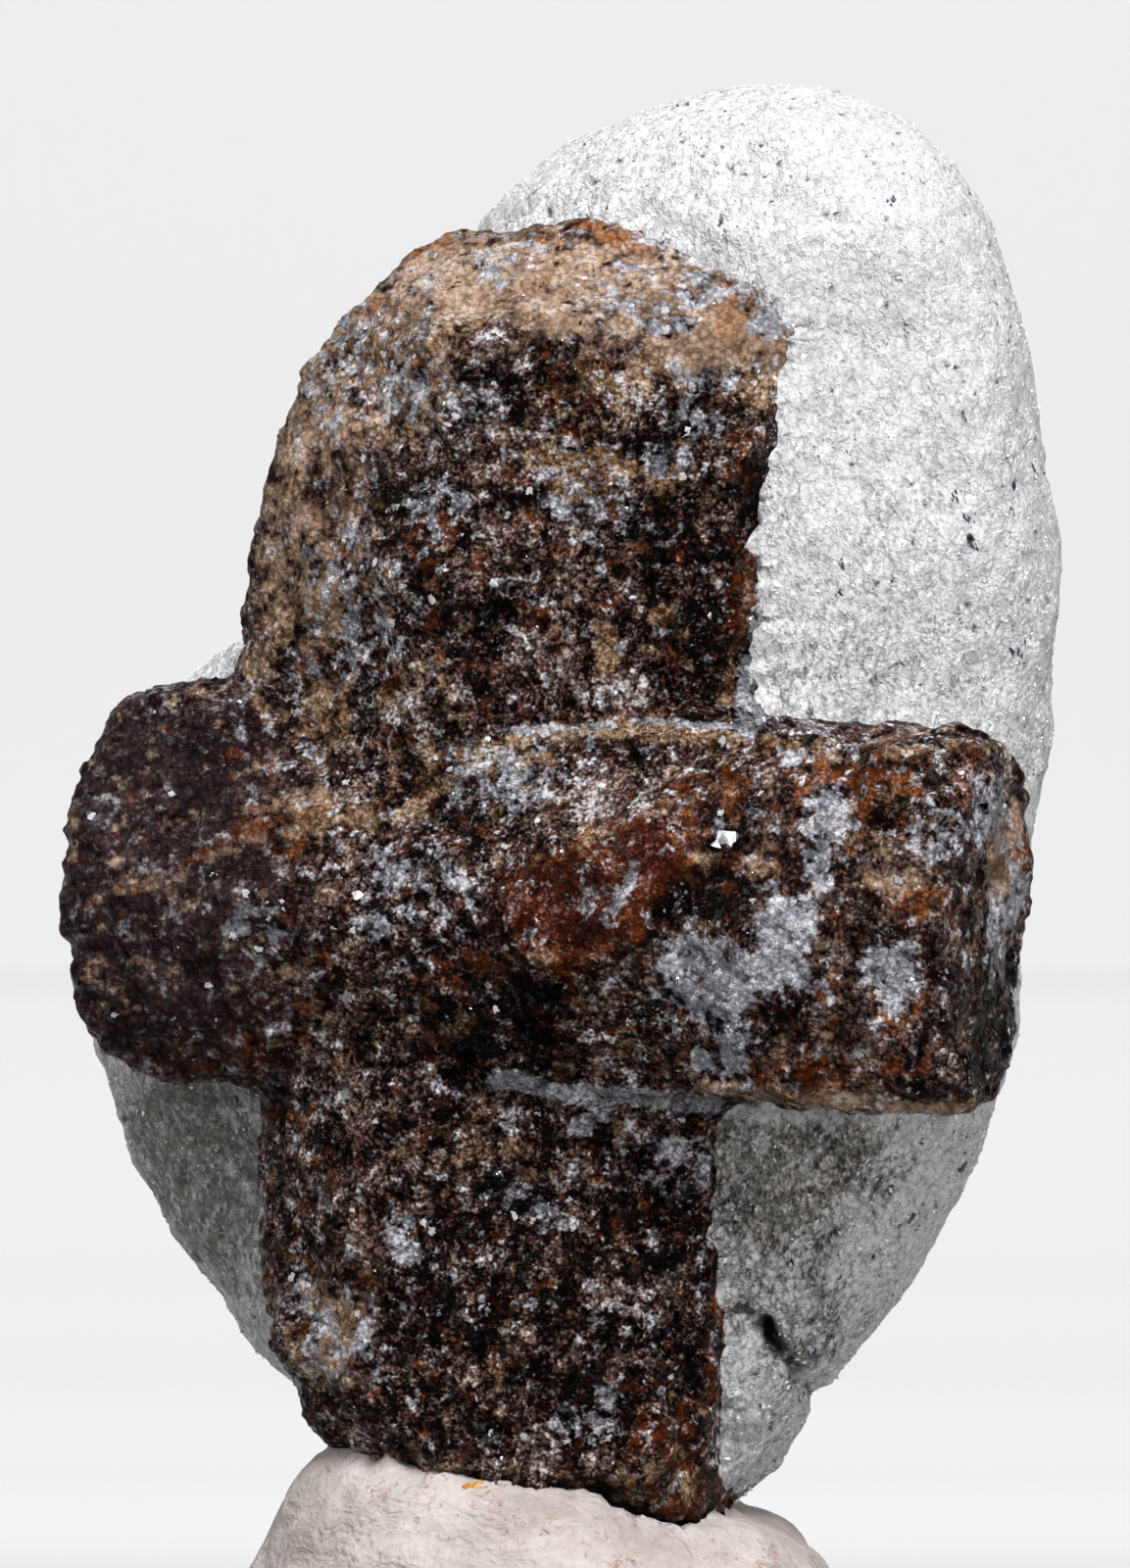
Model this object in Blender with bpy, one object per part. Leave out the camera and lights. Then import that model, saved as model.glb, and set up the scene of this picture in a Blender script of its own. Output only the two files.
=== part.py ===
"""A staurolite cross in its schist, standing on a lump of mounting putty.

Two staurolite crystals grow through each other at a right angle, as a Greek cross. They share
one axis, which is square to the plane of the cross, so each has a low ridge towards the front
with a sloping face on either side of it. Schist wraps the back, the right side and the top.
The specimen stands on the lower tip of the upright crystal, pressed into the putty.

World frame: +X to the right, +Y away from the front, +Z up, origin under the middle of the
object's box, on the surface that the putty stands on. Working values below are millimetres,
with x and z as the object shows them from the front.
"""
import math

import bmesh
import bpy
from mathutils import Vector, noise

MM = 0.001

# Driving dimensions, in millimetres and degrees.
TURN = math.radians(18.0)       # the cross's right side is turned this far towards the front
UPRIGHT_RIDGE = 4.6             # height of each ridge and edge over the middle plane of the cross
UPRIGHT_RIGHT_EDGE = 1.6
UPRIGHT_LEFT_EDGE = 2.7
UPRIGHT_BACK_EDGE = -2.0
UPRIGHT_BACK_RIDGE = -4.5
CROSSBAR_RIDGE = 5.5
CROSSBAR_TOP_EDGE = 3.2
CROSSBAR_BOTTOM_EDGE = 3.9
CROSSBAR_BACK_EDGE = -1.6
CROSSBAR_BACK_RIDGE = -4.0
SCHIST_MIDDLE = 2.7             # depth of the schist's middle, behind the middle of the cross
SCHIST_ROUNDNESS = 2.2          # exponent of its oval plan: 2 is an ellipse, more is squarer
PUTTY_MIDDLE = (-0.5, 0.6)
PUTTY_REACH = (7.2, 8.0, 6.4, 7.2)      # left, right, front and back, at the base
PUTTY_TOP = 5.42                # height of its top at the middle
PUTTY_SLOPE = -0.15             # rise of its top per millimetre to the right
GAP = 0.25                      # between pieces that touch

# Size of the mesh cells before thinning, and the triangles kept in each piece.
CELL = 0.42
TWIN_TRIANGLES = 3600
SCHIST_TRIANGLES = 2300
PUTTY_TRIANGLES = 1000


def place(x, z, height):
    """The point seen at x, z from the front, at a height over the middle plane of the cross."""
    return Vector((x, -x * math.tan(TURN) - height / math.cos(TURN), z))


def behind(x, z, front, back):
    """The point straight behind place(x, z, front) on the line square to the cross."""
    return place(x + (front - back) * math.sin(TURN), z, back)


def clear_scene():
    for item in list(bpy.data.objects):
        bpy.data.objects.remove(item, do_unlink=True)


def add_object(name, bm):
    mesh = bpy.data.meshes.new(name)
    bm.to_mesh(mesh)
    bm.free()
    item = bpy.data.objects.new(name, mesh)
    bpy.context.scene.collection.objects.link(item)
    return item


def block(name, points):
    """A convex block through points, as a crystal or a broken piece of one."""
    bm = bmesh.new()
    for point in points:
        bm.verts.new(point * MM)
    hull = bmesh.ops.convex_hull(bm, input=bm.verts)
    inside = {v for v in hull["geom_interior"] + hull["geom_unused"] if isinstance(v, bmesh.types.BMVert)}
    bmesh.ops.delete(bm, geom=list(inside), context="VERTS")
    bmesh.ops.recalc_face_normals(bm, faces=bm.faces)
    return add_object(name, bm)


def stack(name, rings):
    """A closed body through rings of equal count, each end closed by a face."""
    bm = bmesh.new()
    loops = [[bm.verts.new(point * MM) for point in ring] for ring in rings]
    for lower, upper in zip(loops, loops[1:]):
        count = len(lower)
        for i in range(count):
            j = (i + 1) % count
            bm.faces.new((lower[i], lower[j], upper[j], upper[i]))
    bm.faces.new(list(reversed(loops[0])))
    bm.faces.new(loops[-1])
    bmesh.ops.recalc_face_normals(bm, faces=bm.faces)
    return add_object(name, bm)


def take_modifiers(item):
    """Turns an object's modifiers into its mesh."""
    shape = item.evaluated_get(bpy.context.evaluated_depsgraph_get())
    mesh = bpy.data.meshes.new_from_object(shape)
    item.modifiers.clear()
    old = item.data
    item.data = mesh
    bpy.data.meshes.remove(old)


def combine(item, other, operation):
    """Joins other to item, or cuts it out of item, and removes other."""
    step = item.modifiers.new(operation, "BOOLEAN")
    step.operation = operation
    step.solver = "EXACT"
    step.object = other
    take_modifiers(item)
    bpy.data.objects.remove(other, do_unlink=True)


def remesh(item, cell):
    step = item.modifiers.new("even cells", "REMESH")
    step.mode = "VOXEL"
    step.voxel_size = cell * MM
    take_modifiers(item)


def thin(item, triangles):
    """Thins a mesh to about so many triangles, fewest where it is flat."""
    now = sum(len(face.vertices) - 2 for face in item.data.polygons)
    step = item.modifiers.new("thin", "DECIMATE")
    step.ratio = triangles / now
    step.use_collapse_triangulate = True
    take_modifiers(item)


def swell(item, relief):
    """Moves each vertex along its normal by relief(x, y, z) millimetres."""
    normals = [vertex.normal.copy() for vertex in item.data.vertices]
    for vertex, normal in zip(item.data.vertices, normals):
        vertex.co += normal * relief(*(vertex.co / MM)) * MM
    item.data.update()


def lumps(x, y, z, size, seed):
    """Smooth noise between about -1 and 1, whose lumps are about size across."""
    return noise.noise(Vector((x / size + seed, y / size - seed, z / size + 2 * seed)))


def finish(item, color, roughness):
    material = bpy.data.materials.new(item.name)
    material.use_nodes = True
    shader = material.node_tree.nodes["Principled BSDF"]
    shader.inputs["Base Color"].default_value = (*color, 1.0)
    shader.inputs["Roughness"].default_value = roughness
    shader.inputs["Metallic"].default_value = 0.0
    material.diffuse_color = (*color, 1.0)
    item.data.materials.clear()
    item.data.materials.append(material)


# The upright crystal

def upright_crystal():
    right_edge = [(4.9, 31.0), (3.45, 22.1), (3.05, 13.6), (2.75, 4.75)]
    left_edge = [(-5.0, 31.0), (-5.95, 29.1), (-6.8, 26.5), (-7.05, 24.6),
                 (-6.6, 11.0), (-6.25, 8.6), (-5.65, 6.9), (-5.0, 6.2)]
    ridge = [(-2.1, 30.4), (-4.3, 13.5), (-4.75, 7.8)]
    tip = [(-2.3, 5.75, 4.0), (-0.3, 5.45, 3.3), (1.4, 4.9, 2.6)]
    slope_top = [(-2.9, 32.9, 1.7), (0.5, 33.1, 1.1), (2.9, 32.8, 0.8), (3.8, 32.1, 1.1)]
    points = [place(x, z, UPRIGHT_RIGHT_EDGE) for x, z in right_edge]
    points += [behind(x, z, UPRIGHT_RIGHT_EDGE, UPRIGHT_BACK_EDGE) for x, z in right_edge]
    points += [place(x, z, UPRIGHT_LEFT_EDGE) for x, z in left_edge]
    points += [behind(x, z, UPRIGHT_LEFT_EDGE, UPRIGHT_BACK_EDGE) for x, z in left_edge]
    points += [place(x, z, UPRIGHT_RIDGE) for x, z in ridge]
    points += [behind(x, z, UPRIGHT_RIDGE, UPRIGHT_BACK_RIDGE) for x, z in ridge]
    points += [place(*corner) for corner in tip + slope_top]
    points += [behind(x, z, height, UPRIGHT_BACK_EDGE) for x, z, height in tip + slope_top]
    return block("upright", points)


# The crossbar crystal

def crossbar_crystal():
    ridge = [(8.4, 17.9), (-11.0, 18.3)]
    top_edge = [(9.3, 21.9), (3.7, 22.25), (-6.2, 22.9), (-8.9, 22.85), (-9.8, 22.6)]
    bottom_edge = [(9.0, 13.95), (3.1, 14.1), (-6.4, 14.4), (-9.3, 14.5), (-10.3, 15.0)]
    upper_shoulder = [(8.6, 20.6), (-10.6, 20.7)]
    lower_shoulder = [(8.6, 15.0), (-10.8, 16.4)]
    points = [place(x, z, CROSSBAR_RIDGE) for x, z in ridge]
    points += [behind(x, z, CROSSBAR_RIDGE, CROSSBAR_BACK_RIDGE) for x, z in ridge[1:]]
    points += [place(x, z, CROSSBAR_TOP_EDGE) for x, z in top_edge]
    points += [place(x, z, CROSSBAR_BOTTOM_EDGE) for x, z in bottom_edge]
    points += [place(x, z, CROSSBAR_RIDGE - 0.8) for x, z in upper_shoulder]
    points += [place(x, z, CROSSBAR_RIDGE - 0.6) for x, z in lower_shoulder]
    back = top_edge[1:] + bottom_edge[1:]
    points += [behind(x, z, CROSSBAR_TOP_EDGE, CROSSBAR_BACK_EDGE) for x, z in back]
    # The end of the right arm runs back to the schist, a little hollow at its foot.
    points += [place(10.25, 20.2, -0.3), place(9.85, 21.5, 0.6), place(10.2, 18.4, -0.3)]
    points += [place(10.05, 15.2, 0.0), place(9.5, 13.9, 1.8), place(9.0, 18.0, -3.0)]
    return block("crossbar", points)


def raised_plate():
    """The red-brown growth plate on the crossbar, with a steep rim at its lower left."""
    rim = [(-1.15, 18.1), (-0.9, 17.3), (-0.2, 17.15), (1.1, 17.3), (2.3, 18.3),
           (2.6, 19.6), (1.7, 20.3), (0.3, 20.1), (-0.8, 19.2)]
    face = 6.25
    fall = 0.42
    top = [place(x * 0.92 + 0.06, z, face - fall * max(0.0, z - 17.8)) for x, z in rim]
    root = [place(x, z, 3.6) for x, z in rim]
    return block("plate", top + root)


def small_lumps():
    """Low knobs that break up the faces and the rims: x, z, height and radius."""
    knobs = [(3.9, 31.1, 1.3, 0.75), (4.7, 30.6, 1.2, 0.6), (-4.3, 28.2, 3.2, 0.8),
             (-5.7, 21.2, 3.4, 0.9), (9.75, 19.3, 0.3, 0.75), (7.3, 21.2, 3.9, 0.7),
             (2.1, 21.5, 3.8, 0.65), (5.3, 15.0, 4.4, 0.8), (-2.2, 19.1, 4.9, 0.9),
             (-5.6, 8.6, 3.6, 0.8), (1.9, 6.2, 2.4, 0.8), (-3.2, 25.6, 4.0, 0.9),
             (8.3, 14.8, 4.3, 0.6), (-9.2, 18.9, 5.0, 0.7)]
    pieces = []
    for x, z, height, radius in knobs:
        bm = bmesh.new()
        bmesh.ops.create_icosphere(bm, subdivisions=2, radius=radius * MM)
        bmesh.ops.translate(bm, verts=bm.verts, vec=place(x, z, height) * MM)
        pieces.append(add_object("knob", bm))
    return pieces


def twin_relief(x, y, z):
    """Lumps and shallow growth steps on the faces of the crystals."""
    steps = math.floor(3.0 * lumps(x, y, z, 5.5, 3.1) + 0.5) * 0.07
    return 0.06 + 0.20 * lumps(x, y, z, 3.4, 1.7) + 0.20 * lumps(x, y, z, 1.3, 5.2) + steps


def staurolite_twin():
    twin = upright_crystal()
    twin.name = "staurolite_twin"
    combine(twin, crossbar_crystal(), "UNION")
    combine(twin, raised_plate(), "UNION")
    for knob in small_lumps():
        combine(twin, knob, "UNION")
    remesh(twin, CELL)
    swell(twin, twin_relief)
    thin(twin, TWIN_TRIANGLES)
    finish(twin, (0.085, 0.045, 0.036), 0.55)
    return twin


# The schist

def oval(left, right, front, back, z, count=44):
    """A level ring: a squarish oval, sheared so that it lies along the turned cross."""
    middle = (left + right) / 2
    ring = []
    for i in range(count):
        angle = 2 * math.pi * i / count
        c, s = math.cos(angle), math.sin(angle)
        across = math.copysign(abs(c) ** (2 / SCHIST_ROUNDNESS), c) * (right - left) / 2
        depth = math.copysign(abs(s) ** (2 / SCHIST_ROUNDNESS), s) * (back if s > 0 else front)
        lean = -(middle + across) * math.tan(TURN) * 0.9
        ring.append(Vector((middle + across, SCHIST_MIDDLE + depth + lean, z)))
    return ring


def schist_relief(x, y, z):
    """Lumps drawn out along the schist's layers, and worn hollows at the lower left."""
    relief = 0.34 * lumps(x, y, z / 1.6, 3.8, 7.3) + 0.16 * lumps(x, y, z / 1.5, 1.4, 2.9)
    for hollow_x, hollow_z, radius, depth in ((-7.9, 12.5, 1.5, 0.45), (-7.2, 10.9, 1.1, 0.4)):
        away = math.hypot(x - hollow_x, (z - hollow_z) * 0.7) / radius
        relief -= depth * math.exp(-away * away)
    return relief


def wedge(name, path, width, depth):
    """A crack's cutter: a slot of tapering width along a path on the front, x, z and height."""
    points = []
    for x, z, height in path:
        points.append([place(x, z + width / 2, height + 1.0), place(x, z - width / 2, height + 1.0),
                       place(x, z, height - depth)])
    bm = bmesh.new()
    rows = [[bm.verts.new(point * MM) for point in row] for row in points]
    for near, far in zip(rows, rows[1:]):
        for i in range(3):
            j = (i + 1) % 3
            bm.faces.new((near[i], near[j], far[j], far[i]))
    bm.faces.new(rows[0])
    bm.faces.new(list(reversed(rows[-1])))
    bmesh.ops.recalc_face_normals(bm, faces=bm.faces)
    return add_object(name, bm)


def schist_matrix(twin):
    # Left and right as seen, then how far the front and the back lie from the middle depth.
    levels = [(3.7, 4.9, 0.4, 0.4, 36.3), (2.1, 6.7, 1.7, 2.0, 35.95), (0.4, 8.0, 2.8, 3.0, 35.25),
              (-0.9, 8.8, 3.5, 3.8, 34.3), (-2.0, 9.5, 4.0, 4.2, 33.2), (-3.3, 10.05, 4.3, 4.5, 31.4),
              (-4.3, 10.6, 4.5, 4.7, 28.9), (-4.9, 11.05, 4.6, 4.8, 26.0), (-5.6, 11.05, 4.6, 4.8, 24.6),
              (-7.8, 11.05, 4.6, 4.8, 23.4), (-9.3, 11.0, 4.6, 4.8, 22.0), (-10.2, 10.75, 4.6, 4.8, 20.2),
              (-10.5, 10.35, 4.6, 4.8, 17.6), (-10.5, 10.2, 4.6, 4.7, 15.2), (-10.0, 9.5, 4.5, 4.6, 13.0),
              (-8.9, 8.15, 4.4, 4.4, 10.4), (-7.2, 6.75, 4.2, 4.0, 8.3), (-5.4, 5.8, 3.9, 3.5, 6.9),
              (-4.0, 5.05, 3.3, 2.7, 5.6), (-2.6, 4.2, 2.5, 1.7, 4.9)]
    rings = [oval(left, right, front, back, z) for left, right, front, back, z in levels]
    schist = stack("schist_matrix", rings)
    remesh(schist, CELL)
    swell(schist, schist_relief)
    thin(schist, SCHIST_TRIANGLES)
    # The crack across the lower right corner, which opens towards the outside.
    crack = [(1.9, 10.3, 1.4), (3.3, 9.6, 1.2), (4.3, 9.15, 0.8), (4.65, 8.4, 0.5),
             (5.4, 7.7, -0.4), (6.9, 7.2, -2.4)]
    combine(schist, wedge("crack", crack, 0.6, 1.5), "DIFFERENCE")
    combine(schist, swollen_copy(twin), "DIFFERENCE")
    keep_largest(schist)
    finish(schist, (0.62, 0.62, 0.63), 0.75)
    return schist


def swollen_copy(item):
    """A cutter of an object's shape that is larger by the gap all over."""
    other = item.copy()
    other.data = item.data.copy()
    bpy.context.scene.collection.objects.link(other)
    swell(other, lambda x, y, z: GAP)
    return other


def keep_largest(item):
    """Removes the loose crumbs that a cut leaves, and keeps the one main body."""
    bm = bmesh.new()
    bm.from_mesh(item.data)
    bm.verts.ensure_lookup_table()
    unseen = set(bm.verts)
    bodies = []
    while unseen:
        body = set()
        edge = [next(iter(unseen))]
        while edge:
            vertex = edge.pop()
            if vertex in body:
                continue
            body.add(vertex)
            edge += [e.other_vert(vertex) for e in vertex.link_edges]
        unseen -= body
        bodies.append(body)
    main = max(bodies, key=len)
    bmesh.ops.delete(bm, geom=[v for v in bm.verts if v not in main], context="VERTS")
    bm.to_mesh(item.data)
    bm.free()


# The putty

def putty_relief(x, y, z):
    flat = min(1.0, max(0.0, z / 0.8))
    return flat * (0.30 * lumps(x, y, z, 3.2, 4.4) + 0.14 * lumps(x, y, z * 1.5, 1.3, 8.1))


def putty_lump(twin, schist):
    # Share of the base's reach, and share of the top's height.
    profile = [(0.985, -0.08), (1.0, 0.05), (0.985, 0.2), (0.93, 0.4), (0.875, 0.57), (0.83, 0.7),
               (0.775, 0.83), (0.70, 0.94), (0.60, 1.0), (0.35, 1.02), (0.08, 1.0)]
    left, right, front, back = PUTTY_REACH
    count = 40
    rings = []
    for share, height in profile:
        ring = []
        for i in range(count):
            angle = 2 * math.pi * i / count
            c, s = math.cos(angle), math.sin(angle)
            x = PUTTY_MIDDLE[0] + share * c * (right if c > 0 else left)
            y = PUTTY_MIDDLE[1] + share * s * (back if s > 0 else front)
            top = PUTTY_TOP + PUTTY_SLOPE * x
            ring.append(Vector((x, y, height * top)))
        rings.append(ring)
    putty = stack("putty_lump", rings)
    remesh(putty, CELL)
    swell(putty, putty_relief)
    thin(putty, PUTTY_TRIANGLES)
    corners = [Vector((x, y, z)) for x in (-20, 20) for y in (-20, 20) for z in (-5, 0)]
    combine(putty, block("shelf", corners), "DIFFERENCE")
    for piece in (twin, schist):
        combine(putty, swollen_copy(piece), "DIFFERENCE")
    keep_largest(putty)
    finish(putty, (0.60, 0.53, 0.49), 0.8)
    return putty


def centre_on_footprint(pieces):
    """Brings the middle of the whole box over the origin, and the underside to zero."""
    corners = [vertex.co for piece in pieces for vertex in piece.data.vertices]
    low = Vector([min(corner[i] for corner in corners) for i in range(3)])
    high = Vector([max(corner[i] for corner in corners) for i in range(3)])
    shift = Vector((-(low.x + high.x) / 2, -(low.y + high.y) / 2, -low.z))
    for piece in pieces:
        for vertex in piece.data.vertices:
            vertex.co += shift
        piece.data.update()


clear_scene()
cross = staurolite_twin()
rock = schist_matrix(cross)
stand = putty_lump(cross, rock)
centre_on_footprint([cross, rock, stand])
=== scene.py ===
"""A staurolite cross in its schist, standing on a lump of mounting putty: the finish of it all."""
import itertools
import math

import bmesh
import bpy
import numpy as np
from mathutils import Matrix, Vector
from mathutils.bvhtree import BVHTree


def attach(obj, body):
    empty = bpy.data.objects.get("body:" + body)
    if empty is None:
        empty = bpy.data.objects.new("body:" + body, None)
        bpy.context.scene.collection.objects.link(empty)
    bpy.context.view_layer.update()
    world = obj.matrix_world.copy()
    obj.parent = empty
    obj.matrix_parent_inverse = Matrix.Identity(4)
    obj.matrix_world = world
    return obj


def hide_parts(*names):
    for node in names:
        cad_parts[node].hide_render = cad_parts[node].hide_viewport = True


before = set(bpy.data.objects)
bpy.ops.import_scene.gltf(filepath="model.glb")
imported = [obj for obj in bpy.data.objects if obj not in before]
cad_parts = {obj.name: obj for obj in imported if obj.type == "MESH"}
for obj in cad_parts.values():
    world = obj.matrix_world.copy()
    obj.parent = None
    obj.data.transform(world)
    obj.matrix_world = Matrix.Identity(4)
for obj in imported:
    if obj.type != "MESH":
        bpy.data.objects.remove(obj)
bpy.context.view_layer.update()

# The staurolite twin
# Two dark red-brown crystals grown through each other as a cross. Their faces are flat but rough:
# they hold schist quartz like spilt salt, are stained ochre along the rims, and carry one
# translucent red growth plate on the crossbar.

MM = 0.001


def chance(cells, seed):
    """A repeatable random number from 0 to 1 for each row of whole numbers, by an integer hash."""
    mixed = np.full(len(cells), seed * 2654435761 % 4294967296, dtype=np.uint64)
    for axis, prime in enumerate((73856093, 19349663, 83492791)):
        mixed ^= (cells[:, axis].astype(np.int64) * prime).astype(np.uint64)
        mixed = (mixed ^ (mixed >> np.uint64(15))) * np.uint64(2246822519) % np.uint64(4294967296)
    mixed ^= mixed >> np.uint64(13)
    return (mixed % np.uint64(16777216)).astype(float) / 16777216.0


def haze(points, size, seed):
    """Smooth random values between -1 and 1 at points, in blotches of about that size."""
    scaled = points / size + 31.7 * seed
    corner = np.floor(scaled)
    part = scaled - corner
    part = part * part * (3 - 2 * part)
    total = np.zeros(len(points))
    for step in itertools.product((0, 1), repeat=3):
        weight = np.prod(np.where(np.array(step) == 1, part, 1 - part), axis=1)
        total += weight * chance(corner + step, seed)
    return total * 2 - 1


def pebbles(points, size, seed):
    """The nearest of a scatter of grain centres: how far it is, in sizes, and its own number."""
    scaled = points / size
    home = np.floor(scaled)
    nearest = np.full(len(points), 9.0)
    number = np.zeros(len(points))
    for step in itertools.product((-1, 0, 1), repeat=3):
        cell = home + step
        centre = cell + np.stack([chance(cell, seed + k) for k in range(3)], axis=1)
        away = np.linalg.norm(scaled - centre, axis=1)
        closer = away < nearest
        nearest[closer] = away[closer]
        number[closer] = chance(cell[closer], seed + 7)
    return nearest, number


def seated_grains(points, size, seed, height, middle, edge, fall):
    """The relief of grains held in a face, in mm: a dome on each grain with a number above middle
    and a hollow where the number is below it."""
    away, number = pebbles(points, size, seed)
    return height * (number - middle) * np.clip(edge - away * away * fall, 0.0, 1.0)


def fine_copy(node, name, cell, softening):
    """A fresh even mesh of a node's solid, in small cells, with its facets a little softened."""
    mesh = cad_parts[node].data.copy()
    piece = bpy.data.objects.new(name, mesh)
    bpy.context.scene.collection.objects.link(piece)
    shape = bmesh.new()
    shape.from_mesh(mesh)
    bmesh.ops.remove_doubles(shape, verts=shape.verts, dist=1e-7)
    shape.to_mesh(mesh)
    shape.free()
    even = piece.modifiers.new("even", "REMESH")
    even.mode = "VOXEL"
    even.voxel_size = cell * MM
    soft = piece.modifiers.new("soft", "SMOOTH")
    soft.factor = 0.5
    soft.iterations = softening
    keep_modifiers(piece)
    piece.data.materials.clear()
    piece.data.shade_smooth()
    return piece


def keep_modifiers(piece):
    """Applies a piece's modifiers to its mesh."""
    shape = piece.evaluated_get(bpy.context.evaluated_depsgraph_get())
    piece.data = bpy.data.meshes.new_from_object(shape)
    piece.modifiers.clear()


def places(piece):
    """A mesh's vertices in millimetres, and its vertex normals."""
    count = len(piece.data.vertices)
    points = np.empty(count * 3)
    normals = np.empty(count * 3)
    piece.data.vertices.foreach_get("co", points)
    piece.data.vertex_normals.foreach_get("vector", normals)
    return points.reshape(-1, 3) / MM, normals.reshape(-1, 3)


def move(piece, points):
    """Puts a mesh's vertices at points given in millimetres."""
    piece.data.vertices.foreach_set("co", (points * MM).ravel())
    piece.data.update()


def surface(piece):
    """A mesh in millimetres as a tree that finds nearest points and hits."""
    return BVHTree.FromPolygons([v.co / MM for v in piece.data.vertices],
                                [tuple(p.vertices) for p in piece.data.polygons])


def clearance(points, tree, most):
    """The distance from each point to another surface, up to most, and the nearest point there."""
    distance = np.full(len(points), most)
    near = points.copy()
    for i, point in enumerate(points):
        found = tree.find_nearest(Vector(point), most)
        if found[0] is not None:
            distance[i] = found[3]
            near[i] = found[0]
    return distance, near


def in_the_open(gap):
    """1 where a surface lies open and 0 where the piece at that distance covers it."""
    return np.clip((gap - 0.3) / 0.2, 0.0, 1.0)


def thin_hidden(piece, openness, triangles):
    """Takes faces out of the stretches that other pieces cover, to leave about that many. The
    vertices get one of three weights, since the modifier needs no finer ones."""
    group = piece.vertex_groups.new(name="covered")
    for level in (0.0, 0.5, 1.0):
        chosen = np.nonzero(np.abs((1.0 - openness) - level) <= 0.25)[0]
        group.add(chosen.tolist(), level, "REPLACE")
    now = sum(len(p.vertices) - 2 for p in piece.data.polygons)
    reduce = piece.modifiers.new("thin", "DECIMATE")
    reduce.vertex_group = group.name
    reduce.vertex_group_factor = 10.0
    reduce.ratio = min(1.0, triangles / now)
    keep_modifiers(piece)
    piece.vertex_groups.clear()


def shuffled(points, normals, cell, seed):
    """Points slid about along the surface, so that the even mesh leaves no pattern."""
    slide = np.random.default_rng(seed).uniform(-0.45, 0.45, points.shape) * cell
    slide -= normals * np.sum(slide * normals, axis=1)[:, None]
    return points + slide


def facing_front(normals):
    """1 on faces that look at the viewer, and 0 on those that look away."""
    return np.clip(0.35 - 2.0 * normals[:, 1], 0.0, 1.0)


def ragged(points, seed, reach):
    """Points nudged about in the front view, so that what is placed there gets a ragged edge."""
    nudged = points.copy()
    for axis in (0, 2):
        nudged[:, axis] += reach * haze(points, 1.2, seed + axis)
        nudged[:, axis] += 0.5 * reach * haze(points, 0.45, seed + axis + 1)
    return nudged


def spots(points, normals, patches, seed, reach=0.5):
    """Ragged oval patches, seen from the front: x, z, half width, half height, amount. Each is
    full up to about 0.6 of its half width and gone at about 1.4 of it."""
    nudged = ragged(points, seed, reach)
    total = np.zeros(len(points))
    for x, z, half_x, half_z, amount in patches:
        away = np.hypot((nudged[:, 0] - x) / half_x, (nudged[:, 2] - z) / half_z)
        total = np.maximum(total, amount * np.clip(1.8 - 1.3 * away, 0.0, 1.0))
    return total * facing_front(normals)


def strokes(points, normals, lines, seed):
    """Ragged lines, seen from the front: their points, half width and amount. Each is full up to
    two thirds of its half width and gone at four thirds of it."""
    nudged = ragged(points, seed, 0.12)[:, (0, 2)]
    total = np.zeros(len(points))
    for path, half, amount in lines:
        for start, end in itertools.pairwise(np.array(path)):
            run = end - start
            along = np.clip((nudged - start) @ run / (run @ run), 0.0, 1.0)
            away = np.linalg.norm(nudged - start - along[:, None] * run, axis=1) / half
            total = np.maximum(total, amount * np.clip(2.0 - 1.5 * away, 0.0, 1.0))
    return total * facing_front(normals)


def write_values(piece, name, *columns):
    """Stores up to three values for each vertex as one colour attribute."""
    layer = piece.data.attributes.new(name, "FLOAT_COLOR", "POINT")
    table = np.ones((len(piece.data.vertices), 4))
    for i, column in enumerate(columns):
        table[:, i] = np.clip(column, 0.0, 1.0)
    layer.data.foreach_set("color", table.ravel())


class Paint:
    """A socket in a material. Sums, products and the like of Paint values add Math nodes."""

    def __init__(self, tree, socket=None):
        self.tree = tree
        self.socket = socket

    def node(self, kind, settings, sockets, out=0):
        """Adds a node: its settings first, then the values or links of its sockets."""
        made = self.tree.nodes.new("ShaderNode" + kind)
        for name, value in settings.items():
            setattr(made, name, value)
        for name, value in sockets.items():
            if isinstance(value, Paint):
                self.tree.links.new(value.socket, made.inputs[name])
            else:
                made.inputs[name].default_value = value
        return Paint(self.tree, made.outputs[out])

    def other(self, name):
        """Another output of the node that this value comes from."""
        return Paint(self.tree, self.socket.node.outputs[name])

    def math(self, operation, other):
        return self.node("Math", {"operation": operation}, {0: self, 1: other})

    def __add__(self, other):
        return self.math("ADD", other)

    def __sub__(self, other):
        return self.math("SUBTRACT", other)

    def __rsub__(self, other):
        return self * -1.0 + other

    def __mul__(self, other):
        return self.math("MULTIPLY", other)

    def __gt__(self, other):
        return self.math("GREATER_THAN", other)

    __radd__ = __add__
    __rmul__ = __mul__

    def rise(self, low, high):
        """0 up to low, 1 from high on, and a straight ramp between them."""
        return self.node("MapRange", {}, {"Value": self, "From Min": low, "From Max": high})

    def mix(self, low, high):
        """The colour low where this value is 0 and high where it is 1."""
        return self.node("Mix", {"data_type": "RGBA"}, {0: self, 6: low, 7: high}, out=2)

    def ramp(self, *stops):
        """The colour at this value on a run of stops, each a value and a colour."""
        finish = stops[0][1]
        for (low, _), (high, after) in itertools.pairwise(stops):
            finish = self.rise(low, high).mix(finish, after)
        return finish

    def vector(self, operation, other, out=0):
        return self.node("VectorMath", {"operation": operation}, {0: self, 1: other}, out)

    def channels(self):
        split = self.node("SeparateColor", {}, {0: self})
        return split, split.other("Green"), split.other("Blue")


def color(red, green, blue):
    """A colour as a screen shows it, each part from 0 to 255."""
    return (*[(part / 255) ** 2.2 for part in (red, green, blue)], 1.0)


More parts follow.
